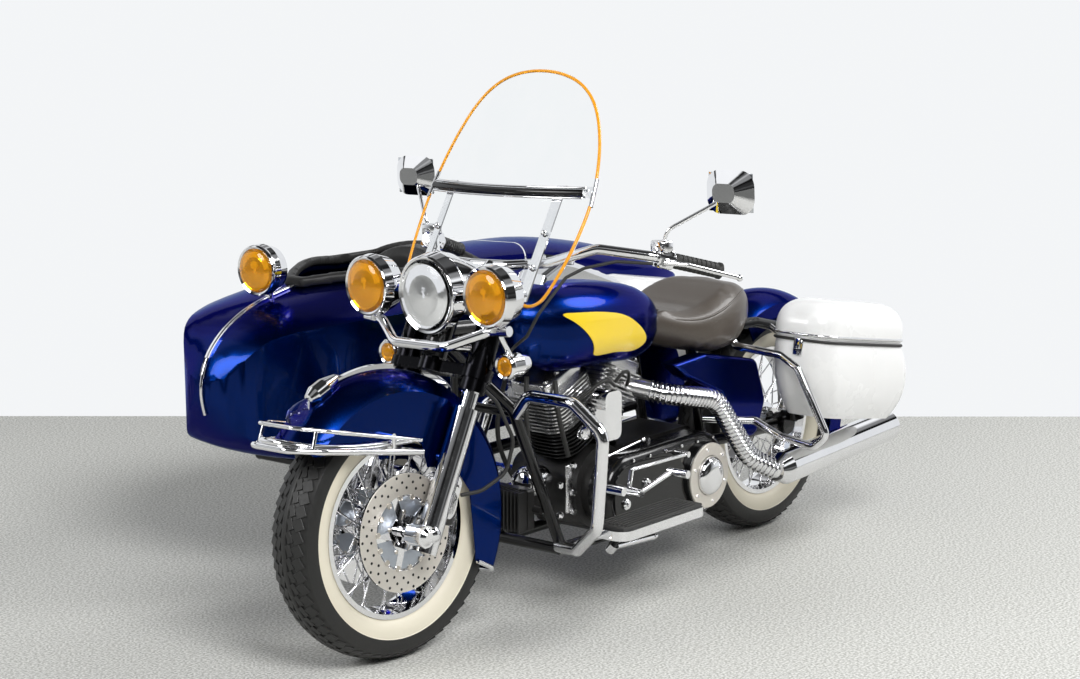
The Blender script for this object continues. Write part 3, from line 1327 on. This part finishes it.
@dataclass
class Windshield:
    """The windshield's edge bead, screws and chrome sleeves."""

    low: tuple[float, float, float] = (496, 0, 890)
    lean: float = 30.1
    bow: float = 1000.0

    def spot(self, y: float, z: float, ahead: float = 0.0) -> Vector:
        """Returns the point of the sheet's front face at a side and height, straight ahead.

        Args:
            y: To the left, mm.
            z: Up, mm.
            ahead: Distance before the face, mm.
        """
        lean = math.radians(self.lean)
        up = Vector((-math.sin(lean), 0, math.cos(lean)))
        out = Vector((math.cos(lean), 0, math.sin(lean)))
        radius = self.bow + ahead
        centre = Vector(self.low) - up * 120 - out * self.bow
        across = math.asin(y / radius)
        offset = Vector((0, y, 0)) + out * (radius * math.cos(across))
        start = centre + offset
        return place(*(start + up * ((z - start.z) / up.z)))

    def build(self) -> None:
        """Beads the edge and puts screws through the straps."""
        half = [
            # y, z from the top down one side and up round the lamp's cut-out
            (0, 1395), (80, 1387), (150, 1362), (205, 1316), (244, 1250), (272, 1170), (288, 1080), (280, 970),
            (258, 880), (240, 845), (205, 838), (180, 852),
        ]
        loop = [self.spot(-y, z, -2) for y, z in reversed(half[1:])] + [self.spot(y, z, -2) for y, z in half]
        keep(bent(loop, 4.2), "shield_bead", Body.FRONT, BEAD, True, 60)
        sleeves = []
        for side in (1, -1):
            line = [self.spot(side * y, z, -2) for y, z in ((287.6, 1072), (285, 1100), (279.5, 1136))]
            sleeves.append(bent(line, 6.2))
        keep(joined(sleeves), "shield_sleeves", Body.FRONT, CHROME, True, 60)
        self.cross_band()
        button = turned([(0, 0), (0, 8), (3, 8), (6, 5), (7, 0)], 16)
        places = []
        for side in (1, -1):
            for z in (870, 930, 1010, 1105):
                here = self.spot(side * 190, z)
                places.append(aimed(here, self.spot(side * 190, z, 10) - here))
        keep(repeated(button, places), "shield_screws", Body.FRONT, CHROME, True)

    def cross_band(self) -> None:
        """Fills the cross strap with a black band, and lines it with bright edges."""
        for lift, radius, finish, name in ((0, 9.5, BLACK, "band"), (-12, 2.6, CHROME, "lower"), (12, 2.6, CHROME, "upper")):
            line = [self.spot(y, 1105 + lift, 5) for y in range(-264, 265, 24)]
            bar = bent(line, radius)
            keep(bar, f"shield_cross_{name}", Body.FRONT, finish, True, 60)


@dataclass
class Controls:
    """Grips, switch blocks and the mirrors' glass."""

    def build(self) -> None:
        """Fits the grips, switch blocks and the mirrors' glass."""
        for side, label in ((1, "left"), (-1, "right")):
            inner, outer = Vector((234, side * 400, 945)), Vector((70, side * 466, 895))
            start = outer + (inner - outer) * 0.72
            length = (outer - start).length
            profile = [(0, 17.2)]
            rings = 9
            for k in range(rings):
                at = 6 + (length - 14) * k / rings
                step = (length - 14) / rings
                profile += [(at, 19.4), (at + step * 0.6, 19.4), (at + step * 0.7, 17.8), (at + step * 0.9, 17.8)]
            profile += [(length - 6, 21), (length + 1, 21), (length + 3, 12), (length + 3, 0)]
            grip = settle(turned(profile, 28), aimed(place(*start), outer - start))
            keep(grip, f"{label}_grip", Body.FRONT, RUBBER, True, 50)
            along = (outer - inner).normalized()
            holder = aimed(place(*(inner + along * 26)), along)
            block = settle(plate((44, 50, 42), 9), holder)
            box = settle(plate((30, 54, 30), 6), Matrix.Translation(place(*(inner + along * 26 + Vector((8, 0, 32))))))
            keep(joined([block, box]), f"{label}_switch_block", Body.FRONT, CHROME, True, 40)
            glass = settle(plate((2, 138, 95), 0.8), Matrix.Translation(place(129.6, side * 558, 1100)))
            keep(glass, f"{label}_mirror_glass", Body.FRONT, MIRROR, True)


@dataclass
class Shells:
    """Painted shells shown as copies with rounded edges."""

    def build(self) -> None:
        """Rounds the sidecar's body and lays the bright strip down its crest."""
        self.rounded("sidecar_body", NAVY, 7.0)
        crest = (
            # x, z down the middle of the deck and the nose
            (340, 783), (420, 769), (503, 749), (560, 726), (606, 699), (642, 668), (667, 639), (685, 605), (695, 572),
            (698, 545), (695, 512), (685, 480),
        )
        strip = bent([place(x, -740, z) for x, z in crest], 5.2)
        keep(strip, "crest_strip", Body.CHASSIS, CHROME, False, 60)

    def rounded(self, node: str, finish: Finish, radius: float) -> None:
        """Replaces a node by a copy whose sharp edges are rounded.

        Args:
            node: The CAD node.
            finish: Its finish.
            radius: Of the rounding, mm.
        """
        obj = own_copy(node)
        obj.data.materials.append(finish.build())
        edge = obj.modifiers.new("edge", "BEVEL")
        edge.width = radius * MM
        edge.segments = 3
        edge.limit_method = "ANGLE"
        edge.angle_limit = math.radians(38)
        choose(obj)
        bpy.ops.object.modifier_apply(modifier="edge")
        keep(obj, f"{node}_shell", Body.CHASSIS, finish, False, 50)
        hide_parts(node)


@dataclass
class Softs:
    """The saddle, the sidecar's seat and its padded rim."""

    voxel: float = 0.006
    frames: int = 20

    def build(self) -> None:
        """Pads each soft piece from its solid."""
        self.pad("saddle", "saddle_pad", LEATHER, "seat_leather", 0.007, 4.0, 0.9)
        self.pad("sidecar_seat", "sidecar_cushion", HIDE, "black_trim", 0.010, 4.0, 0.8)
        self.pad("coaming", "coaming_pad", HIDE, "black_trim", 0.003, 1.0, 0.9)
        self.piping()

    def pad(self, node: str, name: str, finish: Finish, slot: str, cap: float, pressure: float, fill: float) -> None:
        """Inflates a copy of a soft solid and replaces the solid.

        Args:
            node: The CAD node.
            name: The piece's name.
            finish: Its finish.
            slot: The record's slot.
            cap: How far a point may move, metres.
            pressure: The cloth's pressure.
            fill: How full it is, 0 to 1.
        """
        obj = own_copy(node)
        choose(obj)
        grid = obj.modifiers.new("grid", "REMESH")
        grid.mode = "VOXEL"
        grid.voxel_size = self.voxel
        bpy.ops.object.modifier_apply(modifier="grid")
        start = [vertex.co.copy() for vertex in obj.data.vertices]
        self.swell(obj, pressure)
        for vertex, before in zip(obj.data.vertices, start):
            moved = vertex.co - before
            if moved.length > cap:
                vertex.co = before + moved.normalized() * cap
        soften = obj.modifiers.new("soften", "SMOOTH")
        soften.factor = 0.5
        soften.iterations = 6
        bpy.ops.object.modifier_apply(modifier="soften")
        finer = obj.modifiers.new("finer", "SUBSURF")
        finer.levels = finer.render_levels = 1
        bpy.ops.object.modifier_apply(modifier="finer")
        keep(obj, name, Body.CHASSIS, finish, False, 60)
        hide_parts(node)

    def swell(self, obj: bpy.types.Object, pressure: float) -> None:
        """Runs the cloth under pressure and applies it.

        Args:
            obj: The remeshed copy.
            pressure: The cloth's pressure.
        """
        cloth = obj.modifiers.new("cloth", "CLOTH")
        cloth.settings.use_pressure = True
        cloth.settings.uniform_pressure_force = pressure
        cloth.settings.effector_weights.gravity = 0
        cloth.settings.tension_stiffness = 30
        scene = bpy.context.scene
        for number in range(1, self.frames + 1):
            scene.frame_set(number)
        choose(obj)
        bpy.ops.object.modifier_apply(modifier="cloth")
        scene.frame_set(1)

    def piping(self) -> None:
        """Sews a welt round the saddle's upper edge and studs along its rear lip."""
        rail = [
            # x, half width, z
            (-150, 52, 722), (-220, 104, 704), (-330, 146, 690), (-430, 156, 712), (-530, 136, 742), (-600, 98, 738),
            (-624, 40, 734),
        ]
        points = [place(x, y, z) for x, y, z in rail] + [place(x, -y, z) for x, y, z in reversed(rail)]
        keep(bent(points, 3.4, closed=True), "saddle_welt", Body.CHASSIS, LEATHER, False, 60)
        stud = turned([(0, 0), (0, 5), (2, 5), (4, 3), (4.5, 0)], 12)
        places = []
        for k in range(15):
            share = k / 14 * 2 - 1
            y = 118 * share
            x = -612 + 40 * abs(share) ** 1.6
            places.append(aimed(place(x, y, 716), Vector((-1, share * 0.7, 0.3))))
        keep(repeated(stud, places), "saddle_studs", Body.CHASSIS, CHROME)


def dress_nodes() -> None:
    """Gives every shown CAD node its finish."""
    for node, finish in NODE_FINISHES.items():
        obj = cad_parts[node]
        made = finish.build()
        if not obj.material_slots:
            obj.data.materials.append(made)
        for slot in obj.material_slots:
            slot.material = made


def main() -> None:
    """Builds every class in order."""
    logging.basicConfig(level=logging.INFO, format="%(message)s")
    dress_nodes()
    Studio().build()
    wheels = (
        # name, body, axle, sides with a disc, steered
        ("front", Body.FRONT_WHEEL, FRONT_AXLE, (1, -1), True),
        ("rear", Body.REAR_WHEEL, REAR_AXLE, (-1,), False),
        ("sidecar", Body.SIDECAR_WHEEL, SIDECAR_AXLE, (1,), False),
    )
    for name, body, axle, discs, turn in wheels:
        Tyre(f"{name}_tyre", body, axle, turn).build()
        WheelTrim(name, body, axle, discs, turn).build()
    for part in (ForkTrim(), Lamps(), Tank(), Engine(), Boards(), Bags(), Windshield(), Controls(), Shells(), Softs()):
        LOG.info("%s", type(part).__name__)
        part.build()
    fresh()


if __name__ == "__main__":
    main()
